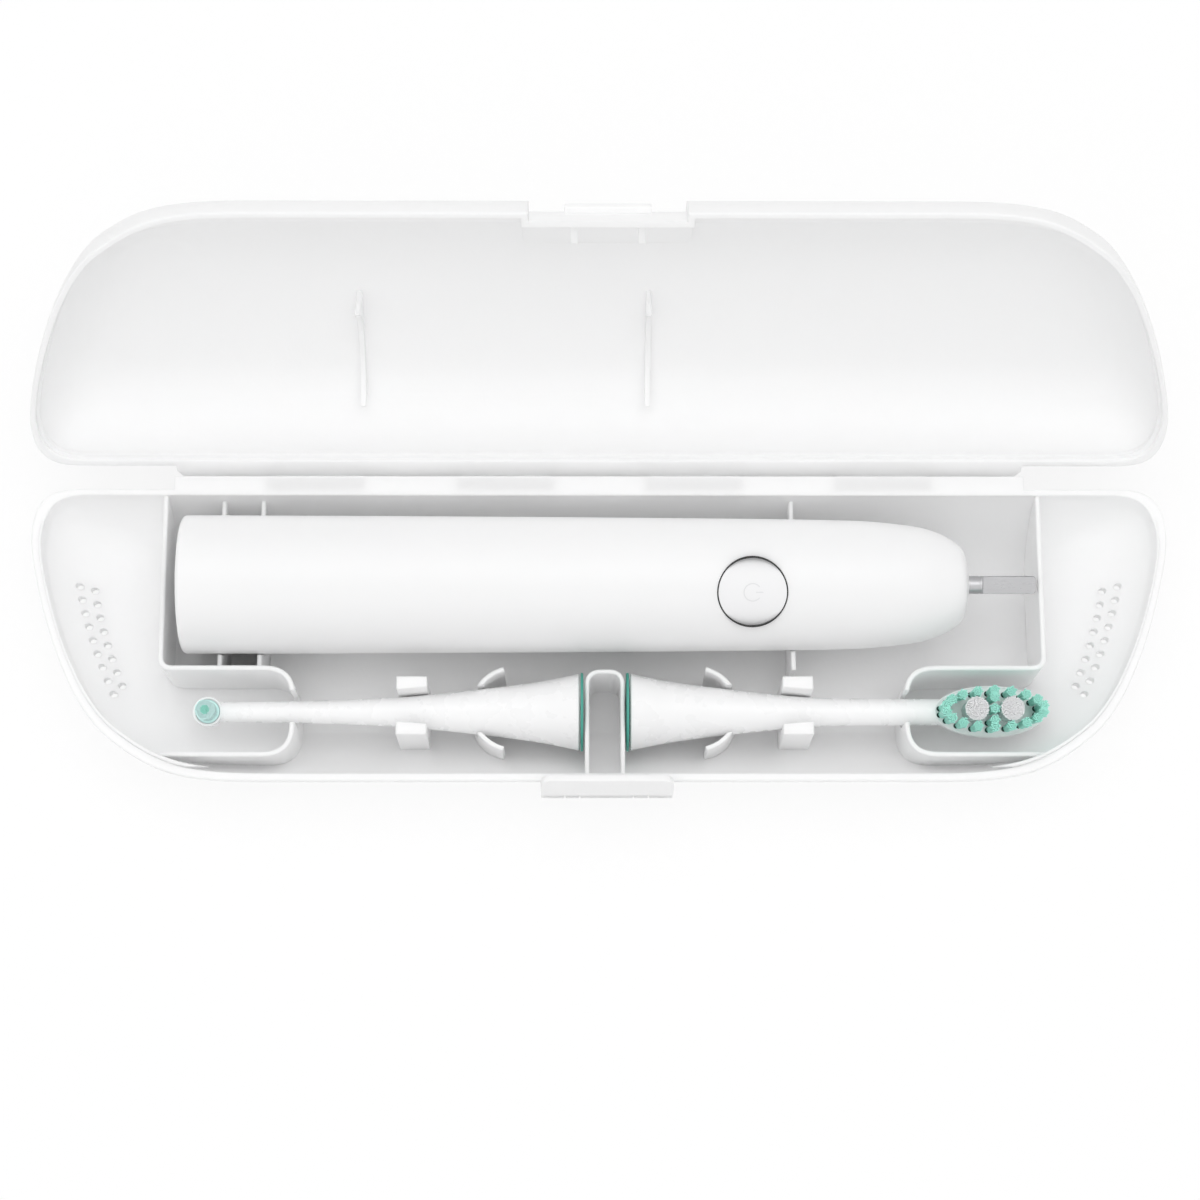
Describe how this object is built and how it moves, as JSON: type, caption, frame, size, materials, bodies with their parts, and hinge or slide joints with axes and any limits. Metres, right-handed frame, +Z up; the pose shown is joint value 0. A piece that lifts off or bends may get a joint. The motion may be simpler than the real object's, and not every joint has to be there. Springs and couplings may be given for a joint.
{
  "type": "electric toothbrush travel case",
  "caption": "White hinged travel case with latch flap, holding a sonic toothbrush handle and brush heads in moulded bays, lid open.",
  "frame": {"origin": "middle of the base's flat underside, on the surface it stands on", "axes": "+X along the case to the right, +Y from the latch to the hinge, +Z up"},
  "size_m": [0.2518, 0.1208, 0.0728],
  "materials": {
    "case_plastic": "satin white polypropylene, faintly translucent",
    "handle_plastic": "satin white ABS",
    "button_rubber": "soft-touch white",
    "head_plastic": "smooth white POM",
    "teal_plastic": "mint green plastic",
    "teal_nylon": "mint nylon filaments",
    "white_nylon": "white nylon filaments",
    "shaft_steel": "satin stainless steel",
    "pin_steel": "drawn wire",
    "motor_steel": "zinc plated",
    "magnet": "nickel plated magnet",
    "black_rubber": "black silicone",
    "switch_black": "black",
    "inner_plastic": "unpainted grey",
    "coil_copper": "enamelled copper wire",
    "cell_wrap": "shrink-wrapped cell",
    "circuit_board": "solder mask"
  },
  "bodies": {
    "base": {"base_shell": "case_plastic", "hinge_pin": "pin_steel", "latch_pin": "pin_steel"},
    "lid": {"lid_shell": "case_plastic"},
    "latch": {"latch_flap": "case_plastic"},
    "handle": {"handle_housing": "handle_plastic", "bottom_cap": "handle_plastic", "bottom_seal": "black_rubber", "coil_bobbin": "inner_plastic", "charging_coil": "coil_copper", "chassis": "inner_plastic", "battery": "cell_wrap", "circuit_board": "circuit_board", "tact_switch": "switch_black", "button_membrane": "black_rubber", "motor_can": "motor_steel", "motor_damper": "black_rubber", "shaft_seal": "black_rubber", "nose_bushing": "handle_plastic"},
    "button": {"power_button": "button_rubber"},
    "shaft": {"drive_shaft": "shaft_steel", "rotor_magnet": "magnet"},
    "left_head": {"left_head_body": "head_plastic", "left_head_ring": "teal_plastic", "left_head_coupling": "shaft_steel", "left_head_bristles": "teal_nylon"},
    "right_head": {"right_head_body": "head_plastic", "right_head_ring": "teal_plastic", "right_head_coupling": "shaft_steel", "right_head_teal_bristles": "teal_nylon", "right_head_white_tuft_1": "white_nylon", "right_head_white_tuft_2": "white_nylon"}
  },
  "joints": [
    {"name": "lid_hinge", "type": "hinge", "parent": "base", "child": "lid", "pos_m": [0, 0.03527, 0.0197], "axis": [-1, 0, 0], "range_deg": [-126.8, 0]},
    {"name": "latch_pivot", "type": "hinge", "parent": "base", "child": "latch", "pos_m": [0.0015, -0.03465, 0.0174], "axis": [1, 0, 0], "range_deg": [-8, 75]},
    {"name": "handle_lift", "type": "slide", "parent": "base", "child": "handle", "axis": [0, 0, 1], "range_m": [0, 0.06]},
    {"name": "left_head_lift", "type": "slide", "parent": "base", "child": "left_head", "axis": [0, 0, 1], "range_m": [0, 0.045]},
    {"name": "right_head_lift", "type": "slide", "parent": "base", "child": "right_head", "axis": [0, 0, 1], "range_m": [0, 0.045]},
    {"name": "power_button_press", "type": "slide", "parent": "handle", "child": "button", "axis": [0, 0.3535, -0.9354], "range_m": [0, 0.0006], "stiffness_N_per_m": 3000},
    {"name": "drive_shaft_sweep", "type": "hinge", "parent": "handle", "child": "shaft", "pos_m": [0.0885, 0.01125, 0.0208], "axis": [1, 0, 0], "range_deg": [-4.5, 4.5], "stiffness_Nm_per_rad": 0.3}
  ]
}
